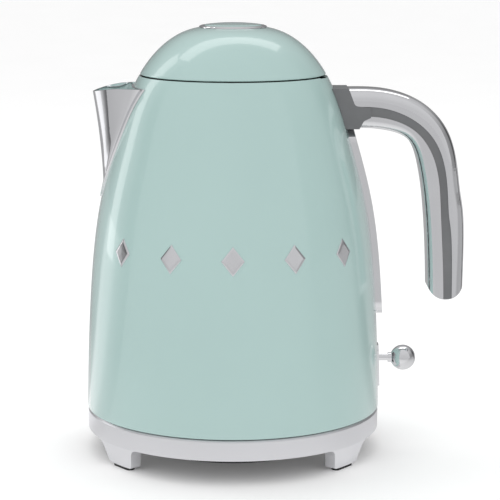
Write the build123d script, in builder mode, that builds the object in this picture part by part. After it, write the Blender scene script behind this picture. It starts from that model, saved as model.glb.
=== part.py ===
from build123d import *
import os
from math import cos, radians, sin

# Electric jug kettle on a powered base. Millimetres, +Z up.
# The jug's axis is the Z axis and the table is z = 0. The handle is on +X, the spout on -X.

os.makedirs("parts", exist_ok=True)

# ---- driving dimensions ----------------------------------------------------

# outline of the painted body and lid, as (radius, height), from the bottom edge to the crown
SKIN_POINTS = [
    (85.9, 25.0),
    (83.2, 95.0),
    (76.4, 150.0),
    (66.6, 187.0),
    (54.2, 219.8),
    (27.8, 244.9),
    (0.0, 248.5),
]
SKIN_TANGENTS = [(-0.02, 1.0), (-1.0, 0.0)]
WALL = 1.2                # painted steel
BODY_BOTTOM = 26.2
BODY_TOP = 219.9
LID_BOTTOM = 220.5

RING_RADIUS = 85.5        # power base
RING_WALL = 4.5
RING_BOTTOM = 14.0
RING_TOP = 25.6
FOOT_TURN = 38.0          # angle of each foot from the X axis
FOOT_WIDTH = 21.0
FOOT_SPREAD = 4.0         # how much wider a foot is at the ring, on each side
FOOT_FLARE = 5.5
FOOT_INSET = 3.5          # how far the feet lean in at the bottom
FOOT_THICKNESS = 6.5
PAD_HEIGHT = 1.6
PAD_WIDTH = 4.9
DECK_TOP = 22.3
SPOOL_RADIUS = 50.0       # cord store under the base
GROMMET_Y = 30.0
BASE_SCREW_CIRCLE = 66.0

POST_RADIUS = 12.6        # base connector
POST_TOP = 29.5
RUNNING = 0.05            # radial clearance of a shaft in its hole
CLEAR = 0.4               # air between bodies that move apart

COVER_BOTTOM = 22.6       # underside of the jug
COVER_RADIUS = 79.5
PLATE_BOTTOM = 65.8       # heater plate
PLATE_THICKNESS = 1.2
DIFFUSER_THICKNESS = 3.0
ELEMENT_RADIUS = 48.0
ELEMENT_WIRE = 3.3
STUD_CIRCLE = 70.0
STUD_RADIUS = 2.0

SPOUT_TOP = 213.6
SPOUT_WALL = 1.2
FLANGE_THICKNESS = 1.0
# beak sections as (height, reach of the keel, reach of the root, half width at the root)
BEAK_SECTIONS = [(153.0, 75.2, 74.5, 5.0), (172.0, 76.1, 70.5, 12.5), (192.0, 78.1, 62.5, 19.0),
                 (SPOUT_TOP, 81.4, 52.5, 26.0)]
BEAK_ROUNDNESS = 1.65     # 2 would be a half ellipse, less is more pointed
# outline of the spout's flange seen along X, from one top corner round the point to the other
FLANGE_EDGE = [
    (-29.5, 215.0),
    (-22.3, 192.0),
    (-15.2, 172.0),
    (0.0, 149.5),
    (15.2, 172.0),
    (22.3, 192.0),
    (29.5, 215.0),
]

COLLAR_TOP = 219.6
COLLAR_BORE = 44.0
HINGE_X = 48.5
HINGE_Z = 220.8
HINGE_PIN = 1.0
KNUCKLE = 1.9
LID_SWEEP = 5.75          # reach of the lid's rear edge from the hinge axis, with its clearance
LINER_RADIUS = 42.6
LINER_BOTTOM = 213.0
LINER_FLANGE = 220.8
LUG_GAP = 10.0            # between the two lugs that carry the hinge pin
LUG_WIDTH = 2.4
LID_KNUCKLE_ENDS = (-4.7, 1.8)

BUTTON_RADIUS = 16.5
BUTTON_TOP = 249.9
BUTTON_TRAVEL = 3.0
STEM_RADIUS = 4.0
GUIDE_TOP = 233.0
SPRING_RADIUS = 6.4
SPRING_WIRE = 0.45
SPRING_TURNS = 4
LID_SCREW_CIRCLE = 33.0
LID_SCREW_RADIUS = 1.5
LATCH_BOTTOM = 215.0
# side view of the latch's ramp, which the button's stem pushes on
LATCH_RAMP = [
    (1.92, 219.5),
    (4.42, 222.0),
    (11.5, 222.0),
    (13.0, 217.2),
    (13.0, LATCH_BOTTOM),
    (9.2, LATCH_BOTTOM),
    (9.2, 217.2),
]

HANDLE_WIDTH = 24.6
BRACKET_WIDTH = 25.0
CORE_WIDTH = 23.8
SCREW_HEIGHTS = (197.0, 207.0)
OUTER_ROUND = 7.0         # along the edges of the two chrome shells
INNER_ROUND = 5.5
HANDLE_END = (124.2, 90.2)
# side view of the handle as (x, z): the chrome part's upper and lower lines, then the grey strip's
HANDLE_UPPER = [(60, 212.8), (88, 211.7), (109.5, 203.7), (125.3, 184.6), (131.2, 156), (134.0, 97.5)]
HANDLE_LOWER = [(113.4, 97.5), (111.1, 141.9), (107.2, 168.5), (99.6, 184.3), (88, 188.7), (60, 190.0)]
STRIP_UPPER = [(60, 202.4), (88, 201.3), (106.8, 192.7), (119.6, 175.4), (124.4, 143), (127.2, 85)]
STRIP_LOWER = [(122.4, 85), (119.9, 143), (114.9, 174), (103.6, 189.2), (88, 195.8), (60, 196.8)]
BRACKET = [
    (40, 212.9),
    (66.2, 212.9),
    (69.9, 203.0),
    (79.0, 201.9),
    (79.0, 196.2),
    (75.0, 194.4),
    (72.4, 189.7),
    (40, 189.7),
]
BRACKET_ROUND = 2.6       # in the bracket's two inner corners

WINDOW_BOTTOM = 80.0
WINDOW_TOP = 189.5
WINDOW_WIDTH = 16.0
WINDOW_OPENING = 8.4
WINDOW_PROUD = 3.6
WINDOW_RIM = (WINDOW_WIDTH - WINDOW_OPENING) / 2 + 0.6
LENS_RIM = WINDOW_RIM + 1.8

LEVER_PIVOT_X = 76.0
LEVER_Z = 53.0
LEVER_STEM = 1.9
LEVER_TAIL = 8.0
LEVER_SLOT = 5.4
PIVOT_PIN = 1.2           # radius of the lever's and the trip arm's pins
KNOB_X = 100.3
KNOB_RADIUS = 7.4
PLATE_LOW = 36.6          # chrome plate round the lever's slot
PLATE_HIGH = 61.2
TRIP_X = 57.0
TRIP_Z = 58.6

MARK_TURNS = (-50.0, -25.0, 0.0, 25.0, 50.0)
MARK_HEIGHT = 125.0
MARK_PROUD = 0.6
MARK_OUTLINE = [(0.0, 8.0), (6.5, 0.0), (0.0, -8.0), (-6.5, 0.0)]

FILTER_TILT = 18.1        # degrees from upright
FILTER_MIDDLE = (-60.0, 0.0, 186.0)
FILTER_WIDTH = 38.0
FILTER_LENGTH = 42.0
FILTER_THICKNESS = 2.4
FILTER_RIM = 4.0
MESH_PITCH = 3.0
MESH_HOLE = 2.2

UPWARDS = (Align.CENTER, Align.CENTER, Align.MIN)

# ---- shared shapes -----------------------------------------------------------

skin = Spline(*SKIN_POINTS, tangents=SKIN_TANGENTS)


def skin_face(depth=0.0, mode=Mode.ADD):
    """Fill the sketch from the axis to the skin moved inwards by depth."""
    points = []
    for point in SKIN_POINTS:
        along = skin.tangent_at(skin.param_at_point(Vector(*point)))
        points.append((point[0] - depth * along.Y, point[1] + depth * along.X))
    with BuildLine() as outline:
        Spline(*points, tangents=SKIN_TANGENTS)
        Polyline(points[-1], (0, 20), (points[0][0], 20), points[0])
    make_face(outline.edges(), mode=mode)


def across(x, z):
    """Place for a round shape that lies along Y, centred at that x and z."""
    return Location((x, 0, z), (90, 0, 0))


def outwards(x, z):
    """Place for a round shape that starts at that x and z and runs along +X."""
    return Location((x, 0, z), (0, 90, 0))


def band(low, high, mode=Mode.INTERSECT):
    """A wide strip of the profile sketch between two heights."""
    with Locations((0, (low + high) / 2)):
        Rectangle(400, high - low, mode=mode)


def ring_face(inner, outer, low, high, mode=Mode.ADD):
    """Half section of a plain ring: two radii and two heights."""
    with Locations(((inner + outer) / 2, (low + high) / 2)):
        Rectangle(outer - inner, high - low, mode=mode)


def beak_plan(reach, root, half):
    """Plan of the beak at one height: a blunt-pointed curve closed inside the body."""
    points = []
    for share in (1.0, 0.65, 0.33, 0.1):
        swell = (1 - (1 - share) ** BEAK_ROUNDNESS) ** (1 / BEAK_ROUNDNESS)
        points.append((-(reach - share * (reach - root)), -half * swell))
    other_side = [(x, -y) for x, y in reversed(points)]
    with BuildLine() as outline:
        Spline(*points, (-reach, 0), *other_side, tangents=[(-1, -0.06), (1, -0.06)])
        Polyline(other_side[-1], (-20, half), (-20, -half), points[0])
    make_face(outline.edges())


with BuildPart() as body_solid:
    with BuildSketch(Plane.XZ):
        skin_face()
    revolve(axis=Axis.Z)

with BuildPart() as body_space:
    with BuildSketch(Plane.XZ):
        skin_face(WALL)
    revolve(axis=Axis.Z)

with BuildPart() as beak_outside:
    for height, reach, root, half in BEAK_SECTIONS:
        with BuildSketch(Plane.XY.offset(height)):
            beak_plan(reach, root, half)
    loft()

with BuildPart() as beak_inside:
    for height, reach, root, half in BEAK_SECTIONS:
        with BuildSketch(Plane.XY.offset(height + 0.2)):
            beak_plan(reach - SPOUT_WALL, root - SPOUT_WALL, half - SPOUT_WALL)
    loft()

# ---- power base --------------------------------------------------------------

with BuildPart() as base_ring:
    with BuildSketch(Plane.XZ):
        with BuildLine():
            Polyline(
                (RING_RADIUS - RING_WALL, RING_BOTTOM),
                (RING_RADIUS, RING_BOTTOM),
                (RING_RADIUS, RING_TOP - 1.2),
                (RING_RADIUS - 0.9, RING_TOP),
                (RING_RADIUS - 3.0, RING_TOP),
                (RING_RADIUS - RING_WALL, RING_TOP - 2.0),
                (RING_RADIUS - RING_WALL, RING_BOTTOM),
            )
        make_face()
    revolve(axis=Axis.Z)

with BuildPart() as foot_blank:
    with BuildSketch(Plane.YZ) as foot_front:
        with BuildLine():
            Polyline(
                (-30, RING_BOTTOM + 1),
                (-30, RING_BOTTOM),
                (-FOOT_WIDTH / 2 - FOOT_SPREAD, RING_BOTTOM),
                (-FOOT_WIDTH / 2, PAD_HEIGHT),
                (FOOT_WIDTH / 2, PAD_HEIGHT),
                (FOOT_WIDTH / 2 + FOOT_SPREAD, RING_BOTTOM),
                (30, RING_BOTTOM),
                (30, RING_BOTTOM + 1),
                close=True,
            )
        make_face()
        fillet(foot_front.vertices().filter_by(lambda v: abs(v.X) < 15 and v.Y > 10), FOOT_FLARE)
        fillet(foot_front.vertices().filter_by(lambda v: v.Y < 2), 2.0)
    extrude(amount=95)
    with BuildSketch(Plane.XZ):
        with BuildLine():
            Polyline(
                (RING_RADIUS - FOOT_THICKNESS, RING_BOTTOM + 1),
                (RING_RADIUS, RING_BOTTOM + 1),
                (RING_RADIUS, RING_BOTTOM),
                (RING_RADIUS - FOOT_INSET, PAD_HEIGHT),
                (RING_RADIUS - FOOT_INSET - FOOT_THICKNESS, PAD_HEIGHT),
                close=True,
            )
        make_face()
    revolve(axis=Axis.Z, mode=Mode.INTERSECT)

FOOT_TURNS = (FOOT_TURN, 180 - FOOT_TURN, 180 + FOOT_TURN, -FOOT_TURN)

with base_ring:
    for turn in FOOT_TURNS:
        add(foot_blank.part, rotation=(0, 0, turn))
base_ring.part.label = "base_ring"

with BuildPart() as foot_pads:
    for turn in FOOT_TURNS:
        with BuildSketch(Plane.XY.rotated((0, 0, turn))):
            with Locations((RING_RADIUS - FOOT_INSET - FOOT_THICKNESS / 2, 0)):
                RectangleRounded(PAD_WIDTH, FOOT_WIDTH - 5.0, 2.0)
        extrude(amount=PAD_HEIGHT)
foot_pads.part.label = "foot_pads"

with BuildPart() as base_deck:
    with BuildSketch(Plane.XZ):
        ring_face(14.6, 80.8, 17.2, 19.4)
        ring_face(74.0, 80.8, 17.2, DECK_TOP)
        ring_face(14.6, 17.0, 13.2, 19.4)
    revolve(axis=Axis.Z)
base_deck.part.label = "base_deck"

with BuildPart() as underside_cover:
    with BuildSketch(Plane.XZ):
        ring_face(0, 75.5, 11.2, 13.2)
        ring_face(SPOOL_RADIUS - 2.0, SPOOL_RADIUS, 4.2, 11.2)
        ring_face(SPOOL_RADIUS - 2.0, SPOOL_RADIUS + 5.0, 4.2, 5.8)
    revolve(axis=Axis.Z)
    with Locations((0, GROMMET_Y, 12.2)):
        Cylinder(4.6, 4, mode=Mode.SUBTRACT)
    with Locations((0, SPOOL_RADIUS + 1.0, 7.0)):
        Box(9, 14, 8, mode=Mode.SUBTRACT)
    with PolarLocations(BASE_SCREW_CIRCLE, 4):
        Cylinder(1.6, 40, mode=Mode.SUBTRACT)
underside_cover.part.label = "underside_cover"

with BuildPart() as cord_grommet:
    with BuildSketch(Plane.XZ.offset(-GROMMET_Y)):
        ring_face(3.3, 4.6, 10.0, 14.4)
        ring_face(3.3, 6.4, 10.0, 11.2)
        ring_face(3.3, 6.4, 13.2, 14.4)
    revolve(axis=Axis((0, GROMMET_Y, 0), (0, 0, 1)))
cord_grommet.part.label = "cord_grommet"

with BuildPart() as base_screws:
    with PolarLocations(BASE_SCREW_CIRCLE, 4):
        with Locations((0, 0, 9.6)):
            Cylinder(3.0, 1.6, align=UPWARDS)
            Cylinder(1.6, 7.6, align=UPWARDS)
base_screws.part.label = "base_screws"

with BuildPart() as connector_post:
    with BuildSketch(Plane.XZ):
        ring_face(10.6, POST_RADIUS, 13.2, POST_TOP)
        ring_face(2.2, 14.6, 13.2, 17.0)
    revolve(axis=Axis.Z)
connector_post.part.label = "connector_post"

with BuildPart() as connector_pin:
    with Locations((0, 0, 13.2)):
        Cylinder(2.2, 17.0, align=UPWARDS)
    fillet(connector_pin.edges().sort_by(Axis.Z)[-1], 1.6)
connector_pin.part.label = "connector_pin"

with BuildPart() as base_contacts:
    with PolarLocations(10.35, 3):
        with Locations((-0.05, 0, 17.0)):
            Box(0.3, 3.0, 9.0, align=UPWARDS)
base_contacts.part.label = "base_contacts"

with BuildPart() as swivel_collar:
    with BuildSketch(Plane.XZ):
        ring_face(POST_RADIUS + RUNNING, 16.4, 19.7, 21.6)
    revolve(axis=Axis.Z)
swivel_collar.part.label = "swivel_collar"

# ---- underside and heater of the jug -------------------------------------------

with BuildPart() as lower_cover:
    with BuildSketch(Plane.XZ):
        ring_face(17.4, COVER_RADIUS, COVER_BOTTOM, 25.2)
        ring_face(77.0, COVER_RADIUS, 25.2, 28.8)
        ring_face(77.0, 84.2, BODY_BOTTOM, 28.8)
    revolve(axis=Axis.Z)
    with PolarLocations(STUD_CIRCLE, 3, start_angle=30):
        with Locations((0, 0, 25.2)):
            Cylinder(4.5, 5.0, align=UPWARDS)
        Cylinder(STUD_RADIUS, 80, mode=Mode.SUBTRACT)
        with Locations((0, 0, COVER_BOTTOM)):
            Cylinder(4.0, 2.8, align=UPWARDS, mode=Mode.SUBTRACT)
lower_cover.part.label = "lower_cover"

with BuildPart() as cover_nuts:
    with BuildSketch(Plane.XY.offset(COVER_BOTTOM + 0.4)):
        with PolarLocations(STUD_CIRCLE, 3, start_angle=30):
            RegularPolygon(3.6, 6)
            Circle(STUD_RADIUS, mode=Mode.SUBTRACT)
    extrude(amount=2.4)
cover_nuts.part.label = "cover_nuts"

with BuildPart() as plate_studs:
    with PolarLocations(STUD_CIRCLE, 3, start_angle=30):
        with Locations((0, 0, COVER_BOTTOM + 0.6)):
            Cylinder(STUD_RADIUS, PLATE_BOTTOM - COVER_BOTTOM - 0.6, align=UPWARDS)
plate_studs.part.label = "plate_studs"

with BuildPart() as heater_plate:
    with BuildSketch(Plane.XZ):
        ring_face(0, 82.6, PLATE_BOTTOM, PLATE_BOTTOM + PLATE_THICKNESS)
    revolve(axis=Axis.Z)
heater_plate.part.label = "heater_plate"

with BuildPart() as plate_seal:
    with BuildSketch(Plane.XZ):
        skin_face(WALL)
        band(PLATE_BOTTOM + PLATE_THICKNESS, PLATE_BOTTOM + PLATE_THICKNESS + 2.6)
        with Locations((40.3, 60)):
            Rectangle(80.6, 100, mode=Mode.SUBTRACT)
    revolve(axis=Axis.Z)
plate_seal.part.label = "plate_seal"

DIFFUSER_BOTTOM = PLATE_BOTTOM - DIFFUSER_THICKNESS

with BuildPart() as heat_diffuser:
    with BuildSketch(Plane.XZ):
        ring_face(0, 60.0, DIFFUSER_BOTTOM, PLATE_BOTTOM)
    revolve(axis=Axis.Z)
heat_diffuser.part.label = "heat_diffuser"

ELEMENT_Z = DIFFUSER_BOTTOM - ELEMENT_WIRE

with BuildPart() as heating_element:
    with BuildSketch(Plane.XZ):
        with Locations((ELEMENT_RADIUS, ELEMENT_Z)):
            Circle(ELEMENT_WIRE)
    revolve(axis=Axis.Z, revolution_arc=310)
heating_element.part.label = "heating_element"

with BuildPart() as element_terminals:
    for turn in (2, 308):
        with Locations(Location((0, 0, 0), (0, 0, -turn))):
            with Locations((ELEMENT_RADIUS, 0, ELEMENT_Z - ELEMENT_WIRE - 6.0)):
                Cylinder(1.4, 6.0, align=UPWARDS)
element_terminals.part.label = "element_terminals"

with BuildPart() as control_housing:
    with BuildSketch(Plane.XY.offset(34.0)):
        RectangleRounded(56, 44, 5)
    extrude(amount=20)
    with Locations((0, 0, 54)):
        Cylinder(11, 1.6, align=UPWARDS)
control_housing.part.label = "control_housing"

with BuildPart() as bimetal_discs:
    with BuildSketch(Plane.XZ):
        ring_face(0, 9.0, 55.6, 56.2)
    revolve(axis=Axis.Z)
    with Locations((20, 0, 54), (-20, 0, 54)):
        Cylinder(5.5, 0.6, align=UPWARDS)
bimetal_discs.part.label = "bimetal_discs"

with BuildPart() as connector_socket:
    with BuildSketch(Plane.XZ):
        ring_face(0, 17.0, 31.6, 34.0)
        ring_face(POST_RADIUS + CLEAR + 0.4, 17.0, COVER_BOTTOM, 31.6)
        ring_face(2.8, 9.4, 24.6, 31.6)
    revolve(axis=Axis.Z)
connector_socket.part.label = "connector_socket"

with BuildPart() as contact_rings:
    with BuildSketch(Plane.XZ):
        ring_face(9.4, 9.7, 25.4, 27.0)
        ring_face(9.4, 9.7, 28.2, 29.8)
    revolve(axis=Axis.Z)
contact_rings.part.label = "contact_rings"

# ---- jug shell ------------------------------------------------------------------

with BuildPart() as lid_sweep:
    with BuildSketch(Plane.XY.offset(HINGE_Z)):
        Circle(HINGE_X + LID_SWEEP)
        with Locations((HINGE_X - 100, 0)):
            Rectangle(200, 200, mode=Mode.SUBTRACT)
    revolve(axis=Axis((HINGE_X, 0, HINGE_Z), (0, 1, 0)))

with BuildPart() as jug_shell:
    with BuildSketch(Plane.XZ):
        skin_face()
        skin_face(WALL, mode=Mode.SUBTRACT)
        band(BODY_BOTTOM, BODY_TOP)
    revolve(axis=Axis.Z)
    # throat behind the spout
    with BuildSketch(Plane.YZ) as throat:
        with BuildLine():
            Polyline((-17, 205), (17, 205), (9, 169), (-9, 169), close=True)
        make_face()
        fillet(throat.vertices(), 4)
    extrude(amount=-95, mode=Mode.SUBTRACT)
    # slot behind the water window
    with BuildSketch(Plane.YZ):
        with Locations((0, (WINDOW_BOTTOM + WINDOW_TOP) / 2)):
            SlotOverall(WINDOW_TOP - WINDOW_BOTTOM - 12, WINDOW_OPENING, rotation=90)
    extrude(amount=95, mode=Mode.SUBTRACT)
    # slot for the switch lever
    with BuildSketch(Plane.YZ):
        with Locations((0, LEVER_Z - 1.5)):
            SlotOverall(13, LEVER_SLOT, rotation=90)
    extrude(amount=95, mode=Mode.SUBTRACT)
    # holes for the two handle screws
    with BuildSketch(Plane.YZ):
        with Locations((0, SCREW_HEIGHTS[0]), (0, SCREW_HEIGHTS[1])):
            Circle(2.1)
    extrude(amount=95, mode=Mode.SUBTRACT)
    # room for the lid's rear edge
    add(lid_sweep.part, mode=Mode.SUBTRACT)
jug_shell.part.label = "jug_shell"

# ---- spout ----------------------------------------------------------------------

with BuildPart() as spout:
    with BuildSketch(Plane.XZ):
        skin_face(-FLANGE_THICKNESS)
        skin_face(mode=Mode.SUBTRACT)
        band(140, 216)
    revolve(axis=Axis.Z)
    with BuildSketch(Plane.YZ):
        with BuildLine():
            edge = Spline(*FLANGE_EDGE)
            Line(edge @ 1, edge @ 0)
        make_face()
    extrude(amount=-95, mode=Mode.INTERSECT)
    add(beak_outside.part)
    add(body_solid.part, mode=Mode.SUBTRACT)
    add(beak_inside.part, mode=Mode.SUBTRACT)
    # the rim dips towards the tip
    with BuildSketch(Plane.XZ):
        with BuildLine():
            ThreePointArc((-86, 209.0), (-70, 213.0), (-45, 213.5))
            Polyline((-45, 213.5), (-45, 225), (-90, 225), (-90, 209.0), (-86, 209.0))
        make_face()
    extrude(amount=60, both=True, mode=Mode.SUBTRACT)
spout.part.label = "spout"

# ---- scale filter ----------------------------------------------------------------

filter_plane = Plane(
    origin=FILTER_MIDDLE,
    x_dir=(0, 1, 0),
    z_dir=(-cos(radians(FILTER_TILT)), 0, sin(radians(FILTER_TILT))),
)

with BuildPart() as filter_frame:
    with BuildSketch(filter_plane):
        RectangleRounded(FILTER_WIDTH, FILTER_LENGTH, 3)
        RectangleRounded(FILTER_WIDTH - 2 * FILTER_RIM, FILTER_LENGTH - 2 * FILTER_RIM, 2,
                         mode=Mode.SUBTRACT)
    extrude(amount=FILTER_THICKNESS / 2, both=True)
filter_frame.part.label = "filter_frame"

with BuildPart() as filter_mesh:
    with BuildSketch(filter_plane):
        Rectangle(FILTER_WIDTH - 2 * FILTER_RIM, FILTER_LENGTH - 2 * FILTER_RIM)
        with GridLocations(MESH_PITCH, MESH_PITCH, 9, 10):
            Rectangle(MESH_HOLE, MESH_HOLE, mode=Mode.SUBTRACT)
        RectangleRounded(FILTER_WIDTH - 2 * FILTER_RIM, FILTER_LENGTH - 2 * FILTER_RIM, 2,
                         mode=Mode.INTERSECT)
    extrude(amount=0.2, both=True)
filter_mesh.part.label = "filter_mesh"

with BuildPart() as filter_guides:
    with BuildSketch(filter_plane.offset(-2.2)):
        with Locations((-FILTER_WIDTH / 2 - 1.3, 0), (FILTER_WIDTH / 2 + 1.3, 0)):
            Rectangle(4.0, 30)
    extrude(amount=16)
    with BuildSketch(filter_plane):
        Rectangle(FILTER_WIDTH + 0.6, 90)
    extrude(amount=FILTER_THICKNESS / 2 + 0.3, both=True, mode=Mode.SUBTRACT)
    add(body_space.part, mode=Mode.INTERSECT)
filter_guides.part.label = "filter_guides"

# ---- water window ----------------------------------------------------------------


def window_outline(width, inset):
    """Upright slot shape of the water window, seen along X."""
    with Locations((0, (WINDOW_BOTTOM + WINDOW_TOP) / 2)):
        SlotOverall(WINDOW_TOP - WINDOW_BOTTOM - 2 * inset, width, rotation=90)


with BuildPart() as window_frame:
    with BuildSketch(Plane.XZ):
        skin_face(-WINDOW_PROUD)
        skin_face(mode=Mode.SUBTRACT)
        band(70, 200)
    revolve(axis=Axis.Z)
    with BuildSketch(Plane.YZ):
        window_outline(WINDOW_WIDTH, 0)
        window_outline(WINDOW_OPENING, WINDOW_RIM)
    extrude(amount=95, mode=Mode.INTERSECT)
    with BuildSketch(Plane.YZ):
        window_outline(WINDOW_OPENING, WINDOW_RIM)
    extrude(amount=95, mode=Mode.SUBTRACT)
window_frame.part.label = "window_frame"

with BuildPart() as window_lens:
    with BuildSketch(Plane.XZ):
        skin_face(-WINDOW_PROUD + 1.0)
        skin_face(WALL + 0.8, mode=Mode.SUBTRACT)
        band(70, 200)
    revolve(axis=Axis.Z)
    with BuildSketch(Plane.YZ):
        window_outline(WINDOW_OPENING - 0.2, LENS_RIM)
    extrude(amount=95, mode=Mode.INTERSECT)
window_lens.part.label = "window_lens"

with BuildPart() as window_gasket:
    with BuildSketch(Plane.XZ):
        skin_face(WALL)
        skin_face(WALL + 2.0, mode=Mode.SUBTRACT)
        band(70, 200)
    revolve(axis=Axis.Z)
    with BuildSketch(Plane.YZ):
        window_outline(WINDOW_OPENING + 6, 3.0)
    extrude(amount=95, mode=Mode.INTERSECT)
    with BuildSketch(Plane.YZ):
        window_outline(WINDOW_OPENING - 0.2, LENS_RIM)
    extrude(amount=95, mode=Mode.SUBTRACT)
window_gasket.part.label = "window_gasket"

# ---- handle ------------------------------------------------------------------------


def handle_side(mode=Mode.ADD):
    """Whole side view of the chrome part of the handle, from the bracket to its rounded end."""
    with BuildLine() as outline:
        top = Spline(*HANDLE_UPPER, tangents=[(1, 0), (-0.02, -1)])
        bottom = Spline(*HANDLE_LOWER, tangents=[(-0.02, 1), (-1, 0)])
        ThreePointArc(top @ 1, HANDLE_END, bottom @ 0)
        Line(bottom @ 1, top @ 0)
    make_face(outline.edges(), mode=mode)


def handle_strip(mode=Mode.ADD):
    """Side view of the grey strip between the two chrome shells, run on past the handle's end."""
    with BuildLine() as outline:
        top = Spline(*STRIP_UPPER, tangents=[(1, 0), (0, -1)])
        bottom = Spline(*STRIP_LOWER, tangents=[(0, 1), (-1, 0)])
        Line(top @ 1, bottom @ 0)
        Line(bottom @ 1, top @ 0)
    make_face(outline.edges(), mode=mode)


def bracket_side(mode=Mode.ADD):
    """Side view of the grey bracket that hugs the body."""
    with BuildLine() as outline:
        Polyline(*BRACKET, close=True)
        for corner in (BRACKET[2], BRACKET[5]):
            fillet(outline.vertices().sort_by_distance(corner)[0], BRACKET_ROUND)
    make_face(outline.edges(), mode=mode)


def is_long_side(edge):
    """True for the edges that run the length of the handle along its two sides."""
    return edge.length > 60 and abs(abs(edge.center().Y) - HANDLE_WIDTH / 2) < 0.1


with BuildPart() as handle_outer:
    with BuildSketch(Plane.XZ) as outer_side:
        handle_side()
        handle_strip(mode=Mode.SUBTRACT)
        bracket_side(mode=Mode.SUBTRACT)
    extrude(outer_side.sketch.faces().sort_by(Axis.Z)[-1], amount=HANDLE_WIDTH / 2, both=True)
    fillet(handle_outer.edges().filter_by(is_long_side).group_by(SortBy.LENGTH)[-1], OUTER_ROUND)
handle_outer.part.label = "handle_outer"

with BuildPart() as handle_inner:
    with BuildSketch(Plane.XZ) as inner_side:
        handle_side()
        handle_strip(mode=Mode.SUBTRACT)
        bracket_side(mode=Mode.SUBTRACT)
    extrude(inner_side.sketch.faces().sort_by(Axis.Z)[0], amount=HANDLE_WIDTH / 2, both=True)
    fillet(handle_inner.edges().filter_by(is_long_side).group_by(SortBy.LENGTH)[0], INNER_ROUND)
handle_inner.part.label = "handle_inner"

with BuildPart() as handle_core:
    with BuildSketch(Plane.XZ):
        handle_strip()
        handle_side(mode=Mode.INTERSECT)
    extrude(amount=CORE_WIDTH / 2, both=True)
    with BuildSketch(Plane.XZ):
        bracket_side()
    extrude(amount=BRACKET_WIDTH / 2, both=True)
    add(body_solid.part, mode=Mode.SUBTRACT)
    for height in SCREW_HEIGHTS:
        with Locations(outwards(40, height)):
            Cylinder(2.0, 40, align=UPWARDS, mode=Mode.SUBTRACT)
handle_core.part.label = "handle_core"

with BuildPart() as handle_screws:
    for height, inside in zip(SCREW_HEIGHTS, (58.4, 54.0)):
        with Locations(outwards(inside, height)):
            Cylinder(3.6, 2.4, align=UPWARDS)
            Cylinder(2.0, 11.5, align=UPWARDS)
handle_screws.part.label = "handle_screws"

# ---- switch lever --------------------------------------------------------------------

with BuildPart() as lever_plate:
    with BuildSketch(Plane.XZ):
        skin_face(-0.9)
        skin_face(mode=Mode.SUBTRACT)
        band(30, 70)
    revolve(axis=Axis.Z)
    with BuildSketch(Plane.YZ):
        with Locations((0, (PLATE_LOW + PLATE_HIGH) / 2)):
            RectangleRounded(13.0, PLATE_HIGH - PLATE_LOW, 3.0)
        with Locations((0, LEVER_Z - 1.5)):
            SlotOverall(13, LEVER_SLOT, rotation=90, mode=Mode.SUBTRACT)
    extrude(amount=95, mode=Mode.INTERSECT)
lever_plate.part.label = "lever_plate"

with BuildPart() as lever_stem:
    with Locations(across(LEVER_PIVOT_X, LEVER_Z)):
        Cylinder(3.4, 10)
    with Locations(outwards(LEVER_PIVOT_X, LEVER_Z)):
        Cylinder(LEVER_STEM, KNOB_X - LEVER_PIVOT_X - KNOB_RADIUS + 2.0, align=UPWARDS)
    with Locations((LEVER_PIVOT_X - LEVER_TAIL / 2 - 0.6, 0, LEVER_Z)):
        Box(LEVER_TAIL, 5.0, 2.4)
    with Locations(across(LEVER_PIVOT_X, LEVER_Z)):
        Cylinder(PIVOT_PIN + RUNNING, 20, mode=Mode.SUBTRACT)
lever_stem.part.label = "lever_stem"

with BuildPart() as switch_knob:
    with Locations((KNOB_X, 0, LEVER_Z)):
        Sphere(KNOB_RADIUS)
    with Locations(outwards(KNOB_X - KNOB_RADIUS - 1.4, LEVER_Z)):
        Cylinder(2.9, 3.0, align=UPWARDS)
        Cylinder(LEVER_STEM, 3.4, align=UPWARDS, mode=Mode.SUBTRACT)
switch_knob.part.label = "switch_knob"

with BuildPart() as lever_pin:
    with Locations(across(LEVER_PIVOT_X, LEVER_Z)):
        Cylinder(PIVOT_PIN, 16)
lever_pin.part.label = "lever_pin"

with BuildPart() as trip_pin:
    with Locations(across(TRIP_X, TRIP_Z)):
        Cylinder(PIVOT_PIN, 16)
trip_pin.part.label = "trip_pin"

with BuildPart() as lever_bracket:
    with BuildSketch(Plane.XZ):
        with BuildLine():
            Polyline((54, 28.8), (80, 28.8), (80, 56.2), (62, 61.8), (54, 61.8), close=True)
        make_face()
    extrude(amount=8.0, both=True)
    with Locations((70, 0, 50)):
        Box(40, 11.0, 34, mode=Mode.SUBTRACT)
    for x, z in ((LEVER_PIVOT_X, LEVER_Z), (TRIP_X, TRIP_Z)):
        with Locations(across(x, z)):
            Cylinder(PIVOT_PIN, 30, mode=Mode.SUBTRACT)
lever_bracket.part.label = "lever_bracket"

with BuildPart() as trip_arm:
    with Locations(across(TRIP_X, TRIP_Z)):
        Cylinder(2.8, 9)
    with BuildSketch(Plane.XZ):
        with BuildLine():
            Polyline((57, 57.4), (68.0, 54.8), (69.4, 54.8), (69.4, 56.6), (57, 60.0), close=True)
        make_face()
    extrude(amount=2.5, both=True)
    with Locations(across(TRIP_X, TRIP_Z)):
        Cylinder(PIVOT_PIN + RUNNING, 20, mode=Mode.SUBTRACT)
trip_arm.part.label = "trip_arm"

STEAM_X = 69.0
STEAM_Y = 18.0
PLATE_TOP = PLATE_BOTTOM + PLATE_THICKNESS
steam_plane = Plane(origin=(STEAM_X, STEAM_Y, PLATE_TOP), x_dir=(0, 1, 0), z_dir=(-0.125, 0, 1))

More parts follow.
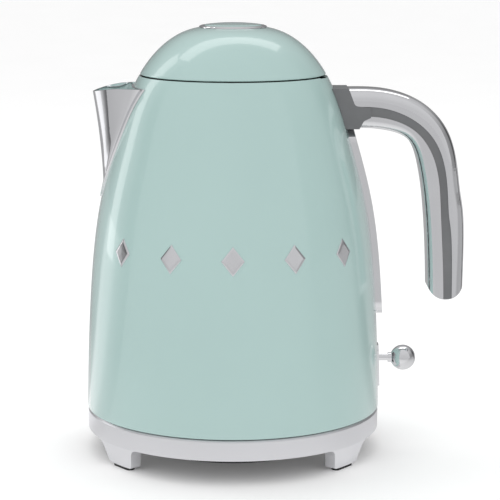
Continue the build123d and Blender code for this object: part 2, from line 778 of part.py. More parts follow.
with BuildPart() as steam_tube:
    with BuildSketch(steam_plane):
        Circle(3.4)
        Circle(2.6, mode=Mode.SUBTRACT)
    extrude(amount=138)
    with Locations((STEAM_X, STEAM_Y, 60)):
        Box(30, 30, 2 * (PLATE_TOP - 60), mode=Mode.SUBTRACT)
steam_tube.part.label = "steam_tube"

# ---- mouth collar and hinge -------------------------------------------------------------

with BuildPart() as mouth_collar:
    with BuildSketch(Plane.XZ):
        skin_face(WALL)
        band(COLLAR_TOP - 2.5, COLLAR_TOP)
        ring_face(COLLAR_BORE, COLLAR_BORE + 2.0, 211.0, COLLAR_TOP)
        with Locations((COLLAR_BORE / 2, 215)):
            Rectangle(COLLAR_BORE, 60, mode=Mode.SUBTRACT)
    revolve(axis=Axis.Z)
    with Locations((HINGE_X + 6, 0, 222)):
        Box(20, 46, 10.4, mode=Mode.SUBTRACT)
    # lugs that carry the hinge pin
    for side in (-1, 1):
        middle = side * (LUG_GAP + LUG_WIDTH) / 2
        with Locations(Location((HINGE_X, middle, HINGE_Z), (90, 0, 0))):
            Cylinder(KNUCKLE, LUG_WIDTH)
        with Locations((HINGE_X - 0.7, middle, (HINGE_Z + 213.5) / 2)):
            Box(1.8, LUG_WIDTH, HINGE_Z - 213.5)
        with Locations((HINGE_X - 2.0, middle, 214.4)):
            Box(4.4, LUG_WIDTH, 1.8)
    with Locations(across(HINGE_X, HINGE_Z)):
        Cylinder(HINGE_PIN, 60, mode=Mode.SUBTRACT)
    # slot for the latch tongue, open upwards
    with Locations((-COLLAR_BORE - 0.2, 0, 217.4)):
        Box(4.4, 13, 6.4, mode=Mode.SUBTRACT)
mouth_collar.part.label = "mouth_collar"

with BuildPart() as hinge_pin:
    with Locations(across(HINGE_X, HINGE_Z)):
        Cylinder(HINGE_PIN, LUG_GAP + 2 * LUG_WIDTH)
hinge_pin.part.label = "hinge_pin"

# ---- lid ----------------------------------------------------------------------------------

with BuildPart() as lid_shell:
    with BuildSketch(Plane.XZ):
        skin_face()
        skin_face(WALL, mode=Mode.SUBTRACT)
        band(LID_BOTTOM, 255)
        with Locations((9.4, 245)):
            Rectangle(18.8, 30, mode=Mode.SUBTRACT)
    revolve(axis=Axis.Z)
lid_shell.part.label = "lid_shell"

with BuildPart() as lid_liner:
    with BuildSketch(Plane.XZ):
        ring_face(0, LINER_RADIUS, LINER_BOTTOM, LINER_BOTTOM + 1.2)
        ring_face(LINER_RADIUS - 1.2, LINER_RADIUS, LINER_BOTTOM, LINER_FLANGE + 1.2)
        ring_face(LINER_RADIUS, 51.2, LINER_FLANGE, LINER_FLANGE + 1.2)
    revolve(axis=Axis.Z)
    # clear of the hinge lugs
    with Locations((HINGE_X, 0, LINER_FLANGE)):
        Box(2 * (HINGE_X - 46.4), 26, 8, mode=Mode.SUBTRACT)
    # arm and knuckle on the pin
    with Locations(Location((HINGE_X, sum(LID_KNUCKLE_ENDS) / 2, HINGE_Z), (90, 0, 0))):
        Cylinder(KNUCKLE, LID_KNUCKLE_ENDS[1] - LID_KNUCKLE_ENDS[0])
    with Locations((46.3, sum(LID_KNUCKLE_ENDS) / 2, LINER_FLANGE + 0.6)):
        Box(4.0, LID_KNUCKLE_ENDS[1] - LID_KNUCKLE_ENDS[0], 1.2)
    with Locations(across(HINGE_X, HINGE_Z)):
        Cylinder(HINGE_PIN + RUNNING, 60, mode=Mode.SUBTRACT)
    # slot for the latch
    with Locations((-LINER_RADIUS, 0, 216.2)):
        Box(6, 10.8, 3.2, mode=Mode.SUBTRACT)
    with PolarLocations(LID_SCREW_CIRCLE, 3):
        Cylinder(LID_SCREW_RADIUS, 600, mode=Mode.SUBTRACT)
lid_liner.part.label = "lid_liner"

with BuildPart() as lid_gasket:
    with BuildSketch(Plane.XZ):
        ring_face(44.4, 46.2, 220.0, LINER_FLANGE)
    revolve(axis=Axis.Z)
lid_gasket.part.label = "lid_gasket"

with BuildPart() as button_guide:
    with BuildSketch(Plane.XZ):
        with BuildLine():
            Polyline(
                (STEM_RADIUS + 0.15, GUIDE_TOP),
                (14, GUIDE_TOP),
                (41.0, LINER_FLANGE + 2.8),
                (44.0, LINER_FLANGE + 2.8),
                (44.0, LINER_FLANGE + 1.2),
                (40.4, LINER_FLANGE + 1.2),
                (13.5, GUIDE_TOP - 1.8),
                (STEM_RADIUS + 0.15, GUIDE_TOP - 1.8),
                close=True,
            )
        make_face()
    revolve(axis=Axis.Z)
    with BuildSketch(Plane.XY.offset(LINER_BOTTOM + 1.2)):
        with PolarLocations(LID_SCREW_CIRCLE, 3):
            Circle(3.4)
    extrude(until=Until.NEXT)
    with PolarLocations(LID_SCREW_CIRCLE, 3):
        with Locations((0, 0, LINER_BOTTOM)):
            Cylinder(LID_SCREW_RADIUS, 7.2, align=UPWARDS, mode=Mode.SUBTRACT)
button_guide.part.label = "button_guide"

with BuildPart() as lid_screws:
    with PolarLocations(LID_SCREW_CIRCLE, 3):
        with Locations((0, 0, LINER_BOTTOM - 1.4)):
            Cylinder(2.8, 1.4, align=UPWARDS)
            Cylinder(LID_SCREW_RADIUS, 8.0, align=UPWARDS)
lid_screws.part.label = "lid_screws"

with BuildPart() as button_bezel:
    with BuildSketch(Plane.XZ):
        with BuildLine():
            Polyline(
                (BUTTON_RADIUS + CLEAR, 243.6),
                (18.8, 243.6),
                (18.8, 247.6),
                (19.6, 247.6),
                (19.2, 248.1),
                (18.2, 248.5),
                (BUTTON_RADIUS + CLEAR, 248.4),
                close=True,
            )
        make_face()
    revolve(axis=Axis.Z)
button_bezel.part.label = "button_bezel"

with BuildPart() as lid_button:
    with BuildSketch(Plane.XZ):
        with BuildLine():
            crown = ThreePointArc((0, BUTTON_TOP), (8.2, 249.65), (BUTTON_RADIUS - 0.6, 248.9))
            ThreePointArc(crown @ 1, (BUTTON_RADIUS - 0.15, 248.6), (BUTTON_RADIUS, 248.2))
            Polyline(
                (BUTTON_RADIUS, 248.2),
                (BUTTON_RADIUS, 245.4),
                (STEM_RADIUS, 245.4),
                (STEM_RADIUS, 222.0),
                (1.0, 219.0),
                (0, 219.0),
                (0, BUTTON_TOP),
            )
        make_face()
    revolve(axis=Axis.Z)
lid_button.part.label = "lid_button"

SPRING_HEIGHT = 245.4 - GUIDE_TOP - 2 * SPRING_WIRE - 0.3

with BuildPart() as button_spring:
    with BuildLine():
        coil = Helix(
            pitch=SPRING_HEIGHT / SPRING_TURNS,
            height=SPRING_HEIGHT,
            radius=SPRING_RADIUS,
            center=(0, 0, GUIDE_TOP + SPRING_WIRE + 0.1),
        )
    with BuildSketch(Plane(origin=coil @ 0, z_dir=coil % 0)):
        Circle(SPRING_WIRE)
    sweep()
button_spring.part.label = "button_spring"

with BuildPart() as lid_latch:
    with BuildSketch(Plane.XY.offset(LATCH_BOTTOM)):
        with Locations((-16.0, 0)):
            Rectangle(58, 10)
        with Locations((1.5, 0)):
            Rectangle(15, 6, mode=Mode.SUBTRACT)
    extrude(amount=2.2)
    with BuildSketch(Plane.XZ):
        with BuildLine():
            Polyline(*LATCH_RAMP, close=True)
        make_face()
    extrude(amount=2.9, both=True)
lid_latch.part.label = "lid_latch"

DAMPER_LENGTH = LUG_GAP / 2 - LID_KNUCKLE_ENDS[1] - 0.3

with BuildPart() as lid_damper:
    with Locations(Location((HINGE_X, (LUG_GAP - DAMPER_LENGTH) / 2, HINGE_Z), (90, 0, 0))):
        Cylinder(KNUCKLE, DAMPER_LENGTH)
        Cylinder(HINGE_PIN, 30, mode=Mode.SUBTRACT)
lid_damper.part.label = "lid_damper"

# ---- front marks ----------------------------------------------------------------------------

with BuildPart() as mark_shafts:
    for turn in MARK_TURNS:
        with BuildSketch(Plane.XZ.rotated((0, 0, turn))):
            with Locations((0, MARK_HEIGHT)):
                Polygon(*MARK_OUTLINE)
        extrude(amount=95)

with BuildPart() as front_marks:
    with BuildSketch(Plane.XZ):
        skin_face(-MARK_PROUD)
        skin_face(mode=Mode.SUBTRACT)
        band(MARK_HEIGHT - 12, MARK_HEIGHT + 12)
    revolve(axis=Axis.Z)
    add(mark_shafts.part, mode=Mode.INTERSECT)
front_marks.part.label = "front_marks"

# ---- write every piece -------------------------------------------------------------------------

PIECES = (
    base_ring, foot_pads, base_deck, underside_cover, cord_grommet, base_screws, connector_post,
    connector_pin, base_contacts, swivel_collar, lower_cover, cover_nuts, plate_studs,
    heater_plate, plate_seal, heat_diffuser, heating_element, element_terminals,
    control_housing, bimetal_discs, connector_socket, contact_rings, jug_shell, spout,
    filter_frame, filter_mesh, filter_guides, window_frame, window_lens, window_gasket,
    handle_outer, handle_inner, handle_core, handle_screws, lever_plate, lever_stem,
    switch_knob, lever_pin, trip_pin, lever_bracket, trip_arm, steam_tube, mouth_collar,
    hinge_pin, lid_shell, lid_liner, lid_gasket, button_guide, lid_screws, button_bezel,
    lid_button, button_spring, lid_latch, lid_damper, front_marks,
)

for piece in PIECES:
    export_step(piece.part, f"parts/{piece.part.label}.step")
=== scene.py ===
"""Electric jug kettle: finishes, small parts and stage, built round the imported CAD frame."""

import math

import bmesh
import bpy
import numpy as np
from bpy.props import FloatProperty, FloatVectorProperty, IntProperty, PointerProperty
from bpy.types import Operator, Panel, PropertyGroup
from mathutils import Matrix, Vector


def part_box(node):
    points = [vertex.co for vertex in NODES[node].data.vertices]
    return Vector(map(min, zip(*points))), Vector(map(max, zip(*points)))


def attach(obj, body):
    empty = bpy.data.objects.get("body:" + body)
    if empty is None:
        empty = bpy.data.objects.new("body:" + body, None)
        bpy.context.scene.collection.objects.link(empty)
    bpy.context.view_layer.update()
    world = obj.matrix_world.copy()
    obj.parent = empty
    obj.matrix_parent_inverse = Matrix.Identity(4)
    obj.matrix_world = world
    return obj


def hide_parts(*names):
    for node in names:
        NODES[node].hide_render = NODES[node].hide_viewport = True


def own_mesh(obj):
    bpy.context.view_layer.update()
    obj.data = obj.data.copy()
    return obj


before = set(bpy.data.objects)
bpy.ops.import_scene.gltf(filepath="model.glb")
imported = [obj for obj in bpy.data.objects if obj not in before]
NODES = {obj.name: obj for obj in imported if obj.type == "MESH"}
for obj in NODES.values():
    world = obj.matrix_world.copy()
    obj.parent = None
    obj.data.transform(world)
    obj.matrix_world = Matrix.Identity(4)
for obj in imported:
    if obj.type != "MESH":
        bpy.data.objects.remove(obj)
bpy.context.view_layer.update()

bl_info = {
    "name": "Jug Kettle",
    "version": (1, 0, 0),
    "blender": (4, 5, 0),
    "location": "View3D > Sidebar > Kettle",
    "description": "Builds the finishes, the small parts and the stage of an electric jug kettle",
    "category": "Object",
}

MM = 0.001
SLOT_FROM, SLOT_TO = 30.0 * MM, 95.0 * MM    # slots are cut from inside the body to outside it
SLOT_STEPS = 12                              # in each round end

# outline of the enamelled skin in millimetres, as (radius, height), and its direction at both ends
SKIN_POINTS = ((85.9, 25.0), (83.2, 95.0), (76.4, 150.0), (66.6, 187.0), (54.2, 219.8), (27.8, 244.9),
               (0.0, 248.5))
SKIN_START, SKIN_END = (-0.02, 1.0), (-1.0, 0.0)


# ---------------------------------------------------------------- node trees

class NodeTree:
    """A node tree under construction, with short calls to add nodes and to feed their sockets."""

    def __init__(self, tree):
        self.tree = tree

    def node(self, kind, settings=None, **inputs):
        """Adds a node. Values and sockets go to its inputs by name, with _ for a space."""
        made = self.tree.nodes.new(kind)
        for key, value in (settings or {}).items():
            setattr(made, key, value)
        for key, value in inputs.items():
            self.feed(made.inputs[key.replace("_", " ")], value)
        return made

    def feed(self, socket, value):
        if isinstance(value, bpy.types.NodeSocket):
            self.tree.links.new(value, socket)
        else:
            socket.default_value = value


# ---------------------------------------------------------------- materials

NOISE_LOW, NOISE_HIGH = 0.3, 0.7     # noise seldom leaves this range


class Finish(NodeTree):
    """A node material under construction: one principled shader and what feeds it."""

    def __init__(self, name):
        self.material = bpy.data.materials.new(name)
        self.material.use_nodes = True
        super().__init__(self.material.node_tree)
        self.shader = self.tree.nodes["Principled BSDF"]
        self.place = self.node("ShaderNodeTexCoord").outputs["Object"]

    def set(self, **values):
        """Values that are the same all over go straight onto the shader's sockets."""
        for key, value in values.items():
            self.shader.inputs[key.replace("_", " ")].default_value = value
        return self

    def stretched(self, scale):
        """The object's own coordinates, scaled differently along each axis."""
        return self.node("ShaderNodeMapping", Vector=self.place, Scale=scale).outputs["Vector"]

    def noise(self, scale, detail=2.0, vector=None, roughness=0.5):
        vector = self.place if vector is None else vector
        return self.node("ShaderNodeTexNoise", Vector=vector, Scale=scale, Detail=detail,
                         Roughness=roughness).outputs["Fac"]

    def spread(self, fac, low, high, start=NOISE_LOW, end=NOISE_HIGH):
        """Turns a 0 to 1 pattern into a value from low to high."""
        made = self.node("ShaderNodeMapRange")
        for socket, value in zip(made.inputs, (fac, start, end, low, high)):
            self.feed(socket, value)
        return made.outputs["Result"]

    def colour(self, fac, low, high):
        """The base colour goes from low to high over the range that noise takes."""
        ramp = self.node("ShaderNodeValToRGB", Fac=fac)
        ends = ramp.color_ramp.elements
        ends[0].position, ends[1].position = NOISE_LOW, NOISE_HIGH
        ends[0].color, ends[1].color = (*low, 1.0), (*high, 1.0)
        self.feed(self.shader.inputs["Base Color"], ramp.outputs["Color"])

    def roughness(self, fac, low, high):
        self.feed(self.shader.inputs["Roughness"], self.spread(fac, low, high))

    def bump(self, height, depth):
        made = self.node("ShaderNodeBump", Height=height, Distance=depth)
        self.feed(self.shader.inputs["Normal"], made.outputs["Normal"])


def shaded(colour, factor):
    return tuple(channel * factor for channel in colour)


def enamel(name, colour, peel):
    """Glossy stove enamel: faint tone drift, lacquer coat, orange peel under it."""
    paint = Finish(name)
    drift = paint.noise(14.0, 3.0)
    paint.colour(drift, shaded(colour, 0.99), shaded(colour, 1.01))
    paint.roughness(paint.noise(9.0, 1.0), 0.24, 0.27)
    paint.bump(paint.noise(420.0, 2.0), peel)
    paint.set(Coat_Weight=1.0, Coat_Roughness=0.035, Coat_IOR=1.55, IOR=1.5)
    return paint.material


def polished(name, colour, rough_low, rough_high):
    """Bright plated metal: handling haze in the gloss, polishing lines too fine to see one by one."""
    metal = Finish(name).set(Metallic=1.0)
    haze = metal.noise(38.0, 5.0, roughness=0.62)
    metal.colour(haze, shaded(colour, 0.965), colour)
    metal.roughness(haze, rough_low, rough_high)
    lines = metal.noise(2600.0, 2.0, vector=metal.stretched((1.0, 1.0, 0.06)))
    metal.bump(lines, 0.0000012)
    return metal.material


def brushed(name, colour, stretch, rough_low=0.24, rough_high=0.36, depth=0.000006):
    """Bare metal with drawn lines along one direction."""
    metal = Finish(name).set(Metallic=1.0)
    lines = metal.noise(900.0, 6.0, vector=metal.stretched(stretch), roughness=0.7)
    metal.colour(lines, shaded(colour, 0.82), colour)
    metal.roughness(lines, rough_low, rough_high)
    metal.bump(lines, depth)
    return metal.material


def satin(name, colour, metallic, rough_low, rough_high):
    """Fine-grained satin coat over a casting."""
    coat = Finish(name).set(Metallic=metallic)
    grain = coat.noise(3200.0, 3.0, roughness=0.6)
    cloud = coat.noise(22.0, 3.0)
    coat.colour(cloud, shaded(colour, 0.96), colour)
    coat.roughness(cloud, rough_low, rough_high)
    coat.bump(grain, 0.000012)
    return coat.material


def moulded(name, colour, rough_low, rough_high, grain_scale=1500.0, depth=0.00003, specular=0.45):
    """Spark-textured moulding: pebbled grain, slight tone and gloss changes."""
    plastic = Finish(name).set(Specular_IOR_Level=specular)
    cells = plastic.node("ShaderNodeTexVoronoi", {"feature": "SMOOTH_F1"}, Vector=plastic.place,
                         Scale=grain_scale, Smoothness=0.8).outputs["Distance"]
    cloud = plastic.noise(30.0, 3.0)
    plastic.colour(cloud, shaded(colour, 0.86), shaded(colour, 1.1))
    plastic.roughness(plastic.noise(240.0, 3.0), rough_low, rough_high)
    plastic.bump(cells, depth)
    return plastic.material


def smoked(name, colour):
    """Clear tinted moulding of the level window, lightly hazed."""
    lens = Finish(name).set(Transmission_Weight=0.82, IOR=1.49)
    haze = lens.noise(50.0, 4.0)
    lens.colour(haze, shaded(colour, 0.9), colour)
    lens.roughness(haze, 0.06, 0.13)
    lens.bump(lens.noise(300.0, 2.0), 0.000008)
    return lens.material


# ---------------------------------------------------------------- geometry nodes

class Graph(NodeTree):
    """A geometry node tree under construction, with its own named inputs."""

    def __init__(self, name, **inputs):
        super().__init__(bpy.data.node_groups.new(name, "GeometryNodeTree"))
        self.tree.interface.new_socket(name="Geometry", in_out="OUTPUT",
                                       socket_type="NodeSocketGeometry")
        for label, value in inputs.items():
            kind = ("NodeSocketObject" if isinstance(value, bpy.types.Object)
                    else "NodeSocketInt" if isinstance(value, int) else "NodeSocketFloat")
            socket = self.tree.interface.new_socket(name=label.replace("_", " ").capitalize(),
                                                    in_out="INPUT", socket_type=kind)
            if kind != "NodeSocketObject":
                socket.default_value = value
        self.values = list(inputs.values())
        self.given = self.tree.nodes.new("NodeGroupInput").outputs

    def size(self, label):
        """The tree's own input of that name."""
        return self.given[label.replace("_", " ").capitalize()]

    def math(self, operation, *values):
        made = self.node("ShaderNodeMath", {"operation": operation})
        for socket, value in zip(made.inputs, values):
            self.feed(socket, value)
        return made.outputs["Value"]

    def combine(self, x=0.0, y=0.0, z=0.0):
        return self.node("ShaderNodeCombineXYZ", X=x, Y=y, Z=z).outputs["Vector"]

    def position(self):
        split = self.node("ShaderNodeSeparateXYZ",
                          Vector=self.node("GeometryNodeInputPosition").outputs["Position"])
        return split.outputs["X"], split.outputs["Y"], split.outputs["Z"]

    def vector(self, operation, first, second):
        made = self.node("ShaderNodeVectorMath", {"operation": operation})
        self.feed(made.inputs[0], first)
        self.feed(made.inputs["Scale"] if operation == "SCALE" else made.inputs[1], second)
        return made.outputs["Vector"]

    def moved(self, geometry, shift=(0, 0, 0), turn=(0, 0, 0)):
        return self.node("GeometryNodeTransform", Geometry=geometry, Translation=shift,
                         Rotation=turn).outputs["Geometry"]

    def placed(self, geometry, position):
        return self.node("GeometryNodeSetPosition", Geometry=geometry,
                         Position=position).outputs["Geometry"]

    def joined(self, *parts):
        made = self.tree.nodes.new("GeometryNodeJoinGeometry")
        for part in reversed(parts):
            self.tree.links.new(part, made.inputs["Geometry"])
        return made.outputs["Geometry"]

    def tube(self, curve, radius, sides):
        ring = self.node("GeometryNodeCurvePrimitiveCircle", Resolution=sides, Radius=radius)
        return self.node("GeometryNodeCurveToMesh", Curve=curve, Profile_Curve=ring.outputs["Curve"],
                         Fill_Caps=True).outputs["Mesh"]

    def instanced(self, points, shape, **inputs):
        return self.node("GeometryNodeInstanceOnPoints", Points=points, Instance=shape,
                         **inputs).outputs["Instances"]

    def realized(self, geometry):
        return self.node("GeometryNodeRealizeInstances", Geometry=geometry).outputs["Geometry"]

    def finish(self, geometry, material, smooth_below=40.0):
        """Ends the tree: smooth but for its sharp edges, real geometry, the piece's material."""
        angle = self.node("GeometryNodeInputMeshEdgeAngle").outputs["Unsigned Angle"]
        sharp = self.math("GREATER_THAN", angle, math.radians(smooth_below))
        smooth = self.node("GeometryNodeSetShadeSmooth", Geometry=self.realized(geometry))
        edged = self.node("GeometryNodeSetShadeSmooth", {"domain": "EDGE"},
                          Geometry=smooth.outputs["Geometry"], Selection=sharp, Shade_Smooth=False)
        whole = self.realized(edged.outputs["Geometry"])
        coated = self.node("GeometryNodeSetMaterial", Geometry=whole, Material=material)
        output = self.tree.nodes.new("NodeGroupOutput")
        self.tree.links.new(coated.outputs["Geometry"], output.inputs["Geometry"])

    def build(self, name):
        """Evaluates the tree on an empty mesh and keeps the result as a plain mesh object."""
        carrier = bpy.data.objects.new(name + "_carrier", bpy.data.meshes.new(name + "_carrier"))
        modifier = carrier.modifiers.new(name, "NODES")
        modifier.node_group = self.tree
        sockets = [s for s in self.tree.interface.items_tree if s.in_out == "INPUT"]
        for socket, value in zip(sockets, self.values):
            modifier[socket.identifier] = value
        bpy.context.scene.collection.objects.link(carrier)
        graph = bpy.context.evaluated_depsgraph_get()
        mesh = bpy.data.meshes.new_from_object(carrier.evaluated_get(graph))
        bpy.data.objects.remove(carrier)
        if not mesh.polygons:
            raise RuntimeError(f"{name} came out empty")
        mesh.name = name
        made = bpy.data.objects.new(name, mesh)
        bpy.context.scene.collection.objects.link(made)
        return made


def clamped_curve(points, start, end, steps):
    """A smooth curve through the points, with unit tangents given at its ends, as (x, z) pairs."""
    p = np.array(points, float)
    gaps = np.linalg.norm(np.diff(p, axis=0), axis=1)
    ends = [np.array(t, float) / np.linalg.norm(t) for t in (start, end)]
    count = len(p)
    left, right = np.eye(count), np.zeros((count, 2))
    right[0], right[-1] = ends
    for i in range(1, count - 1):
        before, after = gaps[i - 1], gaps[i]
        left[i, i - 1:i + 2] = 1 / before, 2 / before + 2 / after, 1 / after
        right[i] = 3 * ((p[i] - p[i - 1]) / before ** 2 + (p[i + 1] - p[i]) / after ** 2)
    slopes = np.linalg.solve(left, right)
    line = []
    for i in range(count - 1):
        for u in np.linspace(0, 1, steps, endpoint=i == count - 2):
            line.append((1 + 2 * u) * (1 - u) ** 2 * p[i] + u * (1 - u) ** 2 * gaps[i] * slopes[i]
                        + u * u * (3 - 2 * u) * p[i + 1] + u * u * (u - 1) * gaps[i] * slopes[i + 1])
    return np.array(line)


def skin_between(low, high, steps=60):
    """The body's outline as (radius, height) from one height to another, and its outward normals."""
    line = clamped_curve(SKIN_POINTS, SKIN_START, SKIN_END, 400) * MM
    along = np.gradient(line, axis=0)
    along /= np.linalg.norm(along, axis=1)[:, None]
    out = np.stack([along[:, 1], -along[:, 0]], axis=1)
    reach = np.concatenate([[0], np.cumsum(np.linalg.norm(np.diff(line, axis=0), axis=1))])
    first, last = (np.interp(z, line[:, 1], reach) for z in (low, high))
    at = np.linspace(first, last, steps)
    pick = [np.stack([np.interp(at, reach, col) for col in table.T], axis=1) for table in (line, out)]
    return pick[0], pick[1] / np.linalg.norm(pick[1], axis=1)[:, None]


def sheet_profile(low, high, wall, steps=60, turns=5):
    """Closed section of a pressed sheet that follows the skin, with half-round edges."""
    line, out = skin_between(low, high, steps)
    half = wall / 2
    middle = line - out * half
    outer = [m + n * half for m, n in zip(middle, out)]
    inner = [m - n * half for m, n in zip(middle, out)][::-1]

    def hem(centre, normal):
        ahead = np.array([-normal[1], normal[0]])
        angles = np.linspace(0, math.pi, turns + 2)[1:-1]
        return [centre + half * (math.cos(a) * normal + math.sin(a) * ahead) for a in angles]

    top = hem(middle[-1] - half * np.array([-out[-1][1], out[-1][0]]), out[-1])
    low_end = hem(middle[0] + half * np.array([-out[0][1], out[0][0]]), -out[0])
    return [*outer[1:-1], *top, *inner[1:-1], *low_end]


def point_row(name, points):
    """A mesh of loose points (x, 0, z), which a tree reads as a section."""
    mesh = bpy.data.meshes.new(name)
    mesh.from_pydata([(x, 0.0, z) for x, z in points], [], [])
    return bpy.data.objects.new(name, mesh)


def turned(name, points, material, segments=256, cutters=None, closed=True):
    """Turns a section round the Z axis with geometry nodes, and cuts the cutters out of it."""
    rows = [*points, points[0]] if closed else list(points)
    section = point_row(name + "_section", rows)
    inputs = {"segments": segments, "rows": len(rows), "section": section}
    if cutters is not None:
        inputs["cutters"] = cutters
    g = Graph(name, **inputs)
    grid = g.node("GeometryNodeMeshGrid", Size_X=1.0, Size_Y=1.0, Vertices_Y=g.size("rows"),
                  Vertices_X=g.math("ADD", g.size("segments"), 1.0)).outputs["Mesh"]
    x, y, _ = g.position()
    angle = g.math("MULTIPLY", g.math("ADD", x, 0.5), 2 * math.pi)
    row = g.math("ROUND", g.math("MULTIPLY", g.math("ADD", y, 0.5),
                                 g.math("SUBTRACT", g.size("rows"), 1.0)))
    source = g.node("GeometryNodeObjectInfo", Object=g.size("section")).outputs["Geometry"]
    sample = g.node("GeometryNodeSampleIndex", {"data_type": "FLOAT_VECTOR"}, Geometry=source,
                    Value=g.node("GeometryNodeInputPosition").outputs["Position"], Index=row)
    split = g.node("ShaderNodeSeparateXYZ", Vector=sample.outputs["Value"]).outputs
    spot = g.combine(g.math("MULTIPLY", split["X"], g.math("COSINE", angle)),
                     g.math("MULTIPLY", split["X"], g.math("SINE", angle)), split["Z"])
    solid = g.node("GeometryNodeMergeByDistance", Geometry=g.placed(grid, spot),
                   Distance=0.000001).outputs["Geometry"]
    if cutters is not None:
        tool = g.node("GeometryNodeObjectInfo", Object=g.size("cutters")).outputs["Geometry"]
        cut = g.node("GeometryNodeMeshBoolean", {"operation": "DIFFERENCE", "solver": "EXACT"},
                     Mesh_1=solid)
        g.feed(cut.inputs["Mesh 2"], tool)
        solid = cut.outputs["Mesh"]
    g.finish(solid, material, 35.0)
    made = g.build(name)
    bpy.data.objects.remove(section)
    return made


def slot_block(name, half_width, low, high, side, tip=None):
    """A block on the handle's side (1) or the spout's (-1) with round ends, to cut a slot."""
    mesh = bmesh.new()
    ring = []
    tip = half_width if tip is None else tip
    for centre, radius, start in ((high - half_width, half_width, 0.0), (low + tip, tip, math.pi)):
        for i in range(SLOT_STEPS + 1):
            angle = start + math.pi * i / SLOT_STEPS
            ring.append((radius * math.cos(angle), centre + radius * math.sin(angle)))
    near, far = side * SLOT_FROM, side * SLOT_TO
    rings = [[mesh.verts.new((x, y, z)) for y, z in ring] for x in (near, far)]
    mesh.faces.new(rings[0])
    mesh.faces.new(rings[1][::-1])
    for i in range(len(ring)):
        j = (i + 1) % len(ring)
        mesh.faces.new((rings[0][i], rings[1][i], rings[1][j], rings[0][j]))
    bmesh.ops.recalc_face_normals(mesh, faces=mesh.faces)
    block = bpy.data.meshes.new(name)
    mesh.to_mesh(block)
    mesh.free()
    return bpy.data.objects.new(name, block)


def one_mesh(name, objects):
    """Joins the meshes of several unlinked objects into one."""
    mesh = bmesh.new()
    for each in objects:
        mesh.from_mesh(each.data)
    whole = bpy.data.meshes.new(name)
    mesh.to_mesh(whole)
    mesh.free()
    return bpy.data.objects.new(name, whole)


def coat(material, *names):
    """Puts a material on CAD nodes that keep their own shape."""
    for name in names:
        for one in NODES[name].material_slots:
            one.material = material


def stand_for(piece, body, slot, *nodes):
    """The piece rides on a body and takes the place of the nodes; its slot argument is not used."""
    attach(piece, body)
    if nodes:
        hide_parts(*nodes)


# ---------------------------------------------------------------- settings

def size(name, description, default, **more):
    return FloatProperty(name=name, description=description, default=default, unit="LENGTH",
                         subtype="DISTANCE", precision=5, **more)


def tint(name, description, default):
    return FloatVectorProperty(name=name, description=description, default=default, subtype="COLOR",
                               min=0.0, max=1.0)


class KettleColours(PropertyGroup):
    """Colours of the kettle's finishes."""
    enamel: tint("Enamel", "Colour of the body and the lid", (0.392, 0.547, 0.524))
    chrome: tint("Chrome", "Colour of the plated fittings", (0.86, 0.863, 0.878))
    base_metal: tint("Base metal", "Colour of the satin base", (0.80, 0.802, 0.825))
    grey_plastic: tint("Grey plastic", "Colour of the handle's core", (0.15, 0.153, 0.158))
    black_plastic: tint("Black plastic", "Colour of the hidden mouldings", (0.022, 0.022, 0.024))
    steel: tint("Steel", "Colour of bare steel", (0.60, 0.60, 0.59))
    aluminium: tint("Aluminium", "Colour of the heat spreader", (0.74, 0.75, 0.76))
    brass: tint("Brass", "Colour of the contacts", (0.72, 0.52, 0.22))
    rubber: tint("Rubber", "Colour of the foot pads", (0.030, 0.030, 0.031))
    silicone: tint("Silicone", "Colour of the seals", (0.46, 0.47, 0.47))
    lens: tint("Window", "Colour of the level window", (0.32, 0.34, 0.36))


class KettleSizes(PropertyGroup):
    """Sizes of the small parts made here."""
    sheet: size("Sheet", "Thickness of the enamelled steel", 1.2 * MM)
    orange_peel: size("Orange peel", "Depth of the ripple in the enamel", 0.000002)
    mark_count: IntProperty(name="Marks", description="Number of raised marks", default=5, min=1)
    mark_step: FloatProperty(name="Mark step", description="Angle from one mark to the next",
                             default=math.radians(25.0), unit="ROTATION", subtype="ANGLE")
    mark_lift: size("Mark lift", "How far the marks stand off the enamel", 0.6 * MM)
    gauze_pitch: size("Gauze pitch", "Distance from wire to wire in the filter", 1.0 * MM)
    gauze_wire: size("Gauze wire", "Radius of the filter's wire", 0.17 * MM)
    spring_turns: FloatProperty(name="Spring turns", description="Turns of the button's spring",
                                default=7.0, min=1.0)
    spring_wire: size("Spring wire", "Radius of the spring's wire", 0.4 * MM)
    tick_count: IntProperty(name="Ticks", description="Marks on the level window", default=13, min=2)
    tick_width: size("Tick width", "Length of a long mark on the window", 4.6 * MM)


class KettleStage(PropertyGroup):
    """Floor, lights and camera."""
    floor: tint("Floor", "Colour of the floor", (0.93, 0.93, 0.93))
    ceiling: tint("Ceiling", "Colour of the studio's ceiling", (0.70, 0.70, 0.71))
    fill: tint("Fill", "Even light from all round", (1.0, 1.0, 1.0))
    floor_glow: FloatProperty(name="Floor glow", description="Light from below the floor",
                              default=0.095, min=0.0)
    camera_reach: size("Camera distance", "From the kettle's axis to the camera", 1.100)
    camera_height: size("Camera height", "Height of the camera", 0.3119)
    camera_pitch: FloatProperty(name="Camera pitch", description="How far the camera looks down",
                                default=math.radians(10.03), unit="ROTATION", subtype="ANGLE")
    camera_lens: FloatProperty(name="Lens", description="Focal length in millimetres",
                               default=137.34)
    camera_shift: FloatProperty(name="Shift", description="Sideways shift of the frame",
                                default=0.034)


def settings(context):
    return context.scene.kettle_colours, context.scene.kettle_sizes, context.scene.kettle_stage


# ---------------------------------------------------------------- pieces

